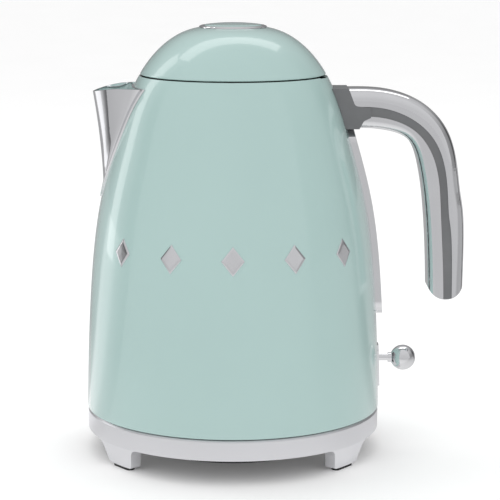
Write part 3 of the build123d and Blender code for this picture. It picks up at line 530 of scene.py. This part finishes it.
class KETTLE_OT_enamel_shell(Operator):
    """Enamels the body, the lid and the lid's button"""
    bl_idname = "kettle.enamel_shell"
    bl_label = "Enamelled shell"

    hinge_x, hinge_z, sweep = 48.5 * MM, 220.8 * MM, 6.2 * MM    # sweep clears the opening lid
    throat_half, throat_tip, throat_low, throat_high = 15.0 * MM, 9.0 * MM, 169.0 * MM, 205.0 * MM
    window_half, window_play = 4.2 * MM, 0.2 * MM
    lever_half, lever_above, lever_below = 2.7 * MM, 8.4 * MM, 3.2 * MM
    body_rise, lid_rise = 0.2 * MM, 0.3 * MM                     # they set the seam's width
    crown_hole, skin_top = 18.8 * MM, 248.4 * MM

    def relief(self, paint):
        """A lens-shaped cutter about the hinge, in which the opening lid's edge swings."""
        far = self.hinge_x + self.sweep
        side = math.sqrt(far ** 2 - self.hinge_x ** 2)
        barrel = [(math.sqrt(far ** 2 - (side * math.sin(a)) ** 2) - self.hinge_x, side * math.sin(a))
                  for a in np.linspace(-math.pi / 2, math.pi / 2, 33)]
        lens = turned("lid_relief", barrel, paint, 64, closed=False)
        lens.data.transform(Matrix.Translation((self.hinge_x, 0.0, self.hinge_z))
                            @ Matrix.Rotation(math.pi / 2, 4, "X"))
        return lens

    def execute(self, context):
        colours, sizes, _ = settings(context)
        paint = enamel("mint_enamel", colours.enamel, sizes.orange_peel)
        body, lid, window, plate = (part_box(node) for node in
                                    ("jug_shell", "lid_shell", "window_lens", "lever_plate"))
        relief = self.relief(paint)
        cutters = one_mesh("body_cutters", [
            slot_block("throat", self.throat_half, self.throat_low, self.throat_high, -1,
                       self.throat_tip),
            slot_block("window_slot", self.window_half, window[0].z - self.window_play,
                       window[1].z + self.window_play, 1),
            slot_block("lever_slot", self.lever_half, plate[0].z + self.lever_above,
                       plate[1].z - self.lever_below, 1),
            relief])
        bpy.data.objects.remove(relief)
        wall = sizes.sheet
        body_sheet = sheet_profile(body[0].z, body[1].z + self.body_rise, wall, 90)
        shell = turned("enamel_body", body_sheet, paint, cutters=cutters)
        bpy.data.objects.remove(cutters)
        stand_for(shell, "jug", "enamel", "jug_shell")
        line, _ = skin_between(lid[0].z, self.skin_top, 400)
        crown = float(np.interp(-self.crown_hole, -line[:, 0], line[:, 1]))
        dome = turned("enamel_lid", sheet_profile(lid[0].z + self.lid_rise, crown, wall, 60), paint)
        stand_for(dome, "lid", "enamel", "lid_shell")
        coat(paint, "lid_button")
        return {"FINISHED"}


class KETTLE_OT_chrome_fittings(Operator):
    """Plates the spout, the handle's shells, the window's frame, the switch and the lid's bezel"""
    bl_idname = "kettle.chrome_fittings"
    bl_label = "Chromed fittings"

    def execute(self, context):
        colours, _, _ = settings(context)
        coat(polished("bright_chrome", colours.chrome, 0.05, 0.11),
             "spout", "handle_outer", "handle_inner", "window_frame", "lever_plate", "lever_stem",
             "switch_knob", "button_bezel")
        return {"FINISHED"}


class KETTLE_OT_power_base(Operator):
    """Finishes the powered base, its feet and its contacts"""
    bl_idname = "kettle.power_base"
    bl_label = "Powered base"

    def execute(self, context):
        colours, _, _ = settings(context)
        coat(satin("satin_base", colours.base_metal, 0.9, 0.30, 0.40), "base_ring")
        coat(moulded("black_moulding", colours.black_plastic, 0.34, 0.48),
             "base_deck", "underside_cover", "connector_post", "swivel_collar", "lower_cover",
             "control_housing", "connector_socket", "button_guide", "lid_damper", "lid_latch",
             "mouth_collar", "trip_arm")
        coat(moulded("foot_rubber", colours.rubber, 0.72, 0.86, 900.0, 0.00006, 0.3),
             "foot_pads", "cord_grommet")
        coat(brushed("contact_brass", colours.brass, (1.0, 1.0, 0.04)),
             "connector_pin", "base_contacts", "contact_rings", "bimetal_discs")
        return {"FINISHED"}


class KETTLE_OT_grip(Operator):
    """Finishes the handle's grey core"""
    bl_idname = "kettle.grip"
    bl_label = "Handle core"

    def execute(self, context):
        colours, _, _ = settings(context)
        coat(moulded("grey_moulding", colours.grey_plastic, 0.38, 0.50, 1900.0, 0.00002),
             "handle_core", "filter_frame", "filter_guides")
        return {"FINISHED"}


class KETTLE_OT_inner_metal(Operator):
    """Finishes the heater, the liner, the brackets, the pins and the seals"""
    bl_idname = "kettle.inner_metal"
    bl_label = "Inner metal and seals"

    def execute(self, context):
        colours, _, _ = settings(context)
        coat(brushed("drawn_steel", colours.steel, (1.0, 1.0, 0.05)),
             "plate_studs", "element_terminals", "steam_tube", "lever_bracket", "lever_pin",
             "trip_pin", "hinge_pin", "heating_element", "handle_screws", "cover_nuts",
             "base_screws", "lid_screws", "lid_liner")
        coat(brushed("spun_steel", colours.steel, (0.05, 1.0, 1.0)), "heater_plate")
        coat(brushed("cast_aluminium", colours.aluminium, (1.0, 1.0, 1.0), 0.34, 0.5, 0.00001),
             "heat_diffuser")
        coat(moulded("seal_silicone", colours.silicone, 0.5, 0.66, 700.0, 0.00002),
             "plate_seal", "lid_gasket", "window_gasket")
        coat(smoked("smoked_window", colours.lens), "window_lens")
        return {"FINISHED"}


class KETTLE_OT_front_marks(Operator):
    """Makes the row of raised lozenges that follow the body's curve"""
    bl_idname = "kettle.front_marks"
    bl_label = "Front marks"

    width, height, embed, bevel, far = 13.0 * MM, 16.0 * MM, 0.4 * MM, 0.09, 0.2
    cells = 17

    def execute(self, context):
        colours, sizes, _ = settings(context)
        low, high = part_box("front_marks")
        middle = (low.z + high.z) / 2
        radius = -low.y
        g = Graph("front_marks", count=sizes.mark_count, step=sizes.mark_step * radius,
                  lift=sizes.mark_lift, width=self.width, height=self.height,
                  skin=NODES["jug_shell"])
        block = g.node("GeometryNodeMeshCube", Size=(1.0, 1.0, 1.0), Vertices_X=self.cells,
                       Vertices_Y=self.cells, Vertices_Z=2).outputs["Mesh"]
        x, y, z = g.position()
        edge = g.math("SUBTRACT", 0.5, g.math("MAXIMUM", g.math("ABSOLUTE", x), g.math("ABSOLUTE", y)))
        rise = g.math("SQRT", g.math("MINIMUM", g.math("DIVIDE", edge, self.bevel), 1.0))
        top = g.math("MULTIPLY", g.size("lift"), g.math("MULTIPLY_ADD", rise, 0.7, 0.3))
        level = g.math("ADD", g.math("MULTIPLY", g.math("GREATER_THAN", z, 0.0),
                                     g.math("ADD", top, self.embed)), -self.embed)
        across = g.math("MULTIPLY", g.math("SUBTRACT", x, y), g.math("MULTIPLY", g.size("width"), 0.5))
        along = g.math("MULTIPLY", g.math("ADD", x, y), g.math("MULTIPLY", g.size("height"), 0.5))
        lozenge = g.placed(block, g.combine(across, along, level))
        line = g.node("GeometryNodeMeshLine", Count=g.size("count"),
                      Offset=g.combine(g.size("step"))).outputs["Mesh"]
        half = g.math("MULTIPLY", g.math("SUBTRACT", g.size("count"), 1.0), -0.5)
        row = g.moved(g.realized(g.instanced(line, lozenge)),
                      shift=g.combine(g.math("MULTIPLY", half, g.size("step"))))
        s, t, rise_out = g.position()
        angle = g.math("DIVIDE", s, radius)
        out = g.combine(g.math("SINE", angle), g.math("MULTIPLY", g.math("COSINE", angle), -1.0))
        height = g.combine(0.0, 0.0, g.math("ADD", t, middle))
        skin = g.node("GeometryNodeObjectInfo", Object=g.size("skin")).outputs["Geometry"]
        ray = g.node("GeometryNodeRaycast", Target_Geometry=skin,
                     Source_Position=g.vector("ADD", g.vector("SCALE", out, self.far), height),
                     Ray_Direction=g.vector("SCALE", out, -1.0), Ray_Length=self.far)
        spot = g.vector("ADD", ray.outputs["Hit Position"], g.vector("SCALE", out, rise_out))
        g.finish(g.placed(row, spot), polished("mark_chrome", colours.chrome, 0.08, 0.14))
        stand_for(g.build("front_lozenges"), "jug", "chrome", "front_marks")
        return {"FINISHED"}


class KETTLE_OT_filter_gauze(Operator):
    """Weaves the spout filter's wire gauze"""
    bl_idname = "kettle.filter_gauze"
    bl_label = "Filter gauze"

    tilt, centre = math.radians(18.1), (-60.0 * MM, 0.0, 186.0 * MM)
    half_width, half_height = 15.0 * MM, 17.0 * MM

    def execute(self, context):
        colours, sizes, _ = settings(context)
        g = Graph("filter_gauze", pitch=sizes.gauze_pitch, wire=sizes.gauze_wire,
                  half_width=self.half_width, half_height=self.half_height)
        turn = g.math("DIVIDE", math.pi, g.size("pitch"))

        def wires(reach, spread, lift):
            """Wires along X, reach to each side, laid next to each other along Y."""
            count = g.math("ADD", g.math("MULTIPLY", g.math("FLOOR", g.math("DIVIDE", spread,
                           g.size("pitch"))), 2.0), 1.0)
            steps = g.math("MULTIPLY", g.math("DIVIDE", reach, g.size("pitch")), 6.0)
            line = g.node("GeometryNodeCurvePrimitiveLine",
                          Start=g.combine(g.math("MULTIPLY", reach, -1.0)), End=g.combine(reach))
            fine = g.node("GeometryNodeResampleCurve", Curve=line.outputs["Curve"], Count=steps)
            rack = g.node("GeometryNodeMeshLine", Count=count, Offset=g.combine(0.0, g.size("pitch")))
            last = g.math("MULTIPLY", g.math("SUBTRACT", count, 1.0), g.size("pitch"))
            rack = g.moved(rack.outputs["Mesh"], shift=g.combine(0.0, g.math("MULTIPLY", last, -0.5)))
            laid = g.realized(g.instanced(rack, fine.outputs["Curve"]))
            x, y, _ = g.position()
            wave = g.math("MULTIPLY", g.math("COSINE", g.math("MULTIPLY", x, turn)),
                          g.math("COSINE", g.math("MULTIPLY", y, turn)))
            wave = g.math("MULTIPLY", wave, g.math("MULTIPLY", g.size("wire"), lift))
            return g.tube(g.placed(laid, g.combine(x, y, wave)), g.size("wire"), 5)

        warp = wires(g.size("half_width"), g.size("half_height"), 1.0)
        weft = g.moved(wires(g.size("half_height"), g.size("half_width"), -1.0),
                       turn=(0.0, 0.0, math.pi / 2))
        cloth = g.moved(g.joined(warp, weft), turn=(math.pi / 2, 0.0, math.pi / 2))
        cloth = g.moved(cloth, shift=self.centre, turn=(0.0, self.tilt, 0.0))
        g.finish(cloth, brushed("gauze_steel", colours.steel, (1.0, 1.0, 1.0)), 80.0)
        stand_for(g.build("filter_gauze"), "filter", "steel", "filter_mesh")
        return {"FINISHED"}


class KETTLE_OT_button_spring(Operator):
    """Winds the spring under the lid's button at its free length; nothing here shortens it when the
    button is pressed
    """
    bl_idname = "kettle.button_spring"
    bl_label = "Button spring"

    press, turn_steps, wire_sides = 3.0 * MM, 28, 10

    def execute(self, context):
        colours, sizes, _ = settings(context)
        low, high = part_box("button_spring")
        wire = sizes.spring_wire
        g = Graph("button_spring", turns=sizes.spring_turns, wire=wire, radius=high.x - wire,
                  height=high.z - low.z - 2 * wire)
        helix = g.node("GeometryNodeCurveSpiral", Resolution=self.turn_steps,
                       Rotations=g.size("turns"), Start_Radius=g.size("radius"),
                       End_Radius=g.size("radius"),
                       Height=g.size("height")).outputs["Curve"]
        coil = g.moved(g.tube(helix, g.size("wire"), self.wire_sides), shift=(0.0, 0.0, low.z + wire))
        g.finish(coil, brushed("spring_steel", colours.steel, (1.0, 1.0, 0.2)), 80.0)
        made = g.build("button_coil")
        stand_for(made, "lid", "steel", "button_spring")
        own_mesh(made)
        return {"FINISHED"}


class KETTLE_OT_window_scale(Operator):
    """Lays the level scale's marks on the window"""
    bl_idname = "kettle.window_scale"
    bl_label = "Window scale"

    margin, tick_height, proud, far, every = 9.0 * MM, 0.5 * MM, 0.05 * MM, 0.15, 4

    def execute(self, context):
        colours, sizes, _ = settings(context)
        low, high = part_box("window_lens")
        bottom, top = low.z + self.margin, high.z - self.margin
        g = Graph("window_scale", count=sizes.tick_count, width=sizes.tick_width,
                  height=self.tick_height, lens=NODES["window_lens"])
        gap = g.math("DIVIDE", top - bottom, g.math("SUBTRACT", g.size("count"), 1.0))
        points = g.node("GeometryNodeMeshLine", Count=g.size("count"),
                        Start_Location=(0.0, 0.0, bottom), Offset=g.combine(0.0, 0.0, gap))
        block = g.node("GeometryNodeMeshCube", Size=(1.0, 1.0, 1.0), Vertices_X=2, Vertices_Y=9,
                       Vertices_Z=2).outputs["Mesh"]
        index = g.node("GeometryNodeInputIndex").outputs["Index"]
        long = g.math("COMPARE", g.math("MODULO", index, float(self.every)), 0.0, 0.1)
        reach = g.math("MULTIPLY", g.size("width"), g.math("MULTIPLY_ADD", long, 0.45, 0.55))
        ticks = g.instanced(points.outputs["Mesh"], block,
                            Scale=g.combine(2 * self.proud, reach, g.size("height")))
        x, y, z = g.position()
        lens = g.node("GeometryNodeObjectInfo", Object=g.size("lens")).outputs["Geometry"]
        ray = g.node("GeometryNodeRaycast", Target_Geometry=lens, Ray_Length=self.far,
                     Source_Position=g.combine(self.far, y, z), Ray_Direction=(-1.0, 0.0, 0.0))
        spot = g.vector("ADD", ray.outputs["Hit Position"], g.combine(x))
        laid = g.placed(g.realized(ticks), spot)
        g.finish(laid, moulded("scale_print", (0.82, 0.83, 0.83), 0.4, 0.5, 1200.0, 0.000005))
        stand_for(g.build("level_marks"), "jug", "smoked_lens")
        return {"FINISHED"}


# ---------------------------------------------------------------- stage

# brightness round the kettle: share of a turn from the camera's side towards the handle, level
WALLS = ((0.000, 0.60), (0.150, 0.62), (0.175, 0.66), (0.184, 0.34), (0.300, 0.24), (0.318, 0.05),
         (0.345, 0.05), (0.365, 0.20), (0.500, 0.26), (0.600, 0.22), (0.634, 0.30), (0.690, 0.40),
         (0.706, 0.30), (0.722, 0.08), (0.740, 0.08), (0.758, 0.46), (0.860, 0.64), (1.000, 0.60))
APRON = ((0.000, 0.56), (0.150, 0.58), (0.184, 0.42), (0.300, 0.46), (0.320, 0.12), (0.340, 0.12),
         (0.352, 0.52), (0.500, 0.40), (0.632, 0.40), (0.643, 1.15), (0.690, 1.05), (0.702, 0.60),
         (0.735, 0.20), (0.748, 0.12), (0.762, 0.50), (0.860, 0.58), (1.000, 0.56))
CEILING = ((0.30, 0.0), (0.75, 0.72), (1.0, 0.85))     # height, share of the ceiling's colour
COOLER = 1.015                                         # blue against red in the greys
# name, place, point it is aimed at, width, height, power
LAMPS = (("key", (-1.28, 0.70, 0.60), (0, 0, 0.14), 0.34, 1.7, 2.2),
         ("front", (-0.45, -2.0, 1.25), (0, 0, 0.14), 1.6, 1.0, 3.0),
         ("overhead", (-0.10, 0.50, 1.50), (0, 0, 0.1), 1.9, 0.42, 3.6))


def levels(tree, fac, stops):
    """Colour ramp of greys."""
    made = tree.node("ShaderNodeValToRGB", Fac=fac)
    elements = made.color_ramp.elements
    while len(elements) < len(stops):
        elements.new(0.5)
    for element, (place, level) in zip(elements, sorted(stops)):
        element.position = place
        element.color = (level, level, level * COOLER, 1.0)
    return made.outputs["Color"]


def all_round(tree, where, stops):
    """Greys by bearing; the gradient starts on the spout's side, a quarter turn before the stops."""
    bearing = tree.node("ShaderNodeTexGradient", {"gradient_type": "RADIAL"}, Vector=where)
    turned_stops = [((place + 0.25) % 1.0, level) for place, level in stops]
    return levels(tree, bearing.outputs["Fac"], turned_stops)


def mixed(tree, fac, first, second):
    """Colour mix of sockets 6 and 7, given out by 2; either side is a colour or a socket."""
    made = tree.node("ShaderNodeMix", {"data_type": "RGBA"}, Factor=fac)
    for socket, colour in ((made.inputs[6], first), (made.inputs[7], second)):
        tree.feed(socket, colour if isinstance(colour, bpy.types.NodeSocket) else (*colour, 1.0))
    return made.outputs[2]


def studio_world(stage):
    """Even fill light; what shines mirrors grey walls of uneven brightness and a pale ceiling."""
    world = bpy.data.worlds.new("studio")
    world.use_nodes = True
    tree = NodeTree(world.node_tree)
    where = tree.node("ShaderNodeTexCoord").outputs["Generated"]
    height = tree.node("ShaderNodeSeparateXYZ", Vector=where).outputs["Z"]
    room = mixed(tree, levels(tree, height, CEILING), all_round(tree, where, WALLS), stage.ceiling)
    sight = tree.node("ShaderNodeLightPath")
    seen = mixed(tree, sight.outputs["Is Glossy Ray"], stage.fill, room)
    tree.feed(world.node_tree.nodes["Background"].inputs["Color"], seen)
    return world


def studio_apron(reach, out, sides):
    """Ring of cloth that only shiny things mirror: grey by bearing, paler towards the kettle."""
    lift = 0.4 * MM
    pale, fade_start, fade_end = 0.62, 0.10, 0.42     # share of white at the kettle, its reach
    turns = [2 * math.pi * i / sides for i in range(sides)]
    rim = [(r * math.cos(a), r * math.sin(a), lift) for r in (reach, out) for a in turns]
    faces = [(i, sides + i, sides + (i + 1) % sides, (i + 1) % sides) for i in range(sides)]
    apron = bpy.data.objects.new("studio_apron", bpy.data.meshes.new("studio_apron"))
    apron.data.from_pydata(rim, [], faces)
    cloth = Finish("apron_cloth").set(Specular_IOR_Level=0.0)
    cloth.colour(cloth.noise(4.0), (0.0, 0.0, 0.0), (0.002, 0.002, 0.002))
    cloth.roughness(cloth.noise(8.0), 0.85, 0.95)
    away = cloth.node("ShaderNodeVectorMath", {"operation": "LENGTH"}, Vector=cloth.place)
    near = cloth.spread(away.outputs["Value"], pale, 0.0, fade_start, fade_end)
    glow = mixed(cloth, near, all_round(cloth, cloth.place, APRON), (1.0, 1.0, 1.0))
    cloth.feed(cloth.shader.inputs["Emission Color"], glow)
    cloth.set(Emission_Strength=1.0)
    apron.data.materials.append(cloth.material)
    apron.visible_camera = apron.visible_diffuse = apron.visible_shadow = False
    apron.visible_transmission = False
    bpy.context.scene.collection.objects.link(apron)
    return apron


class KETTLE_OT_stage(Operator):
    """Lays the floor, hangs the lights and sets the camera"""
    bl_idname = "kettle.stage"
    bl_label = "Stage"

    floor_radius, floor_sides, apron_start, sensor = 30.0, 96, 0.0862, 36.0

    def execute(self, context):
        _, _, stage = settings(context)
        scene = context.scene
        bpy.ops.mesh.primitive_circle_add(vertices=self.floor_sides, radius=self.floor_radius,
                                          fill_type="NGON")
        floor = context.object
        floor.name = "studio_floor"
        paper = Finish("studio_paper")
        paper.colour(paper.noise(3.0), shaded(stage.floor, 0.99), stage.floor)
        paper.roughness(paper.noise(8.0), 0.7, 0.8)
        paper.set(Emission_Color=(1.0, 1.0, 1.0, 1.0), Emission_Strength=stage.floor_glow)
        floor.data.materials.append(paper.material)
        studio_apron(self.apron_start, self.floor_radius, self.floor_sides)

        for name, place, aim, width, height, watts in LAMPS:
            light = bpy.data.lights.new(name, "AREA")
            light.shape, light.size, light.size_y, light.energy = "RECTANGLE", width, height, watts
            lamp = bpy.data.objects.new(name, light)
            lamp.location = place
            lamp.visible_camera = False
            lamp.visible_glossy = name != "front"
            aimed = Vector(aim) - Vector(place)
            lamp.rotation_euler = aimed.to_track_quat("-Z", "Y").to_euler()
            scene.collection.objects.link(lamp)

        scene.world = studio_world(stage)

        lens = bpy.data.cameras.new("camera")
        lens.lens, lens.sensor_width, lens.shift_x = stage.camera_lens, self.sensor, stage.camera_shift
        camera = bpy.data.objects.new("camera", lens)
        camera.location = (0.0, -stage.camera_reach, stage.camera_height)
        camera.rotation_euler = (math.pi / 2 - stage.camera_pitch, 0.0, 0.0)
        scene.collection.objects.link(camera)
        scene.camera = camera
        scene.view_settings.view_transform = "Standard"
        return {"FINISHED"}


PIECES = (KETTLE_OT_enamel_shell, KETTLE_OT_chrome_fittings, KETTLE_OT_power_base, KETTLE_OT_grip,
          KETTLE_OT_inner_metal, KETTLE_OT_front_marks, KETTLE_OT_filter_gauze,
          KETTLE_OT_button_spring, KETTLE_OT_window_scale, KETTLE_OT_stage)


class KETTLE_PT_panel(Panel):
    """Lists the kettle's pieces and settings"""
    bl_idname = "KETTLE_PT_panel"
    bl_label = "Jug kettle"
    bl_space_type = "VIEW_3D"
    bl_region_type = "UI"
    bl_category = "Kettle"

    def draw(self, context):
        for group in settings(context):
            column = self.layout.column(align=True)
            for key in group.__annotations__:
                column.prop(group, key)
        for piece in PIECES:
            self.layout.operator(piece.bl_idname)


CLASSES = (KettleColours, KettleSizes, KettleStage, *PIECES, KETTLE_PT_panel)


def register():
    for one in CLASSES:
        bpy.utils.register_class(one)
    bpy.types.Scene.kettle_colours = PointerProperty(type=KettleColours)
    bpy.types.Scene.kettle_sizes = PointerProperty(type=KettleSizes)
    bpy.types.Scene.kettle_stage = PointerProperty(type=KettleStage)


def unregister():
    del bpy.types.Scene.kettle_stage, bpy.types.Scene.kettle_sizes, bpy.types.Scene.kettle_colours
    for one in reversed(CLASSES):
        bpy.utils.unregister_class(one)


def main():
    register()
    for piece in PIECES:
        group, call = piece.bl_idname.split(".")
        getattr(getattr(bpy.ops, group), call)()


if __name__ == "__main__":
    main()
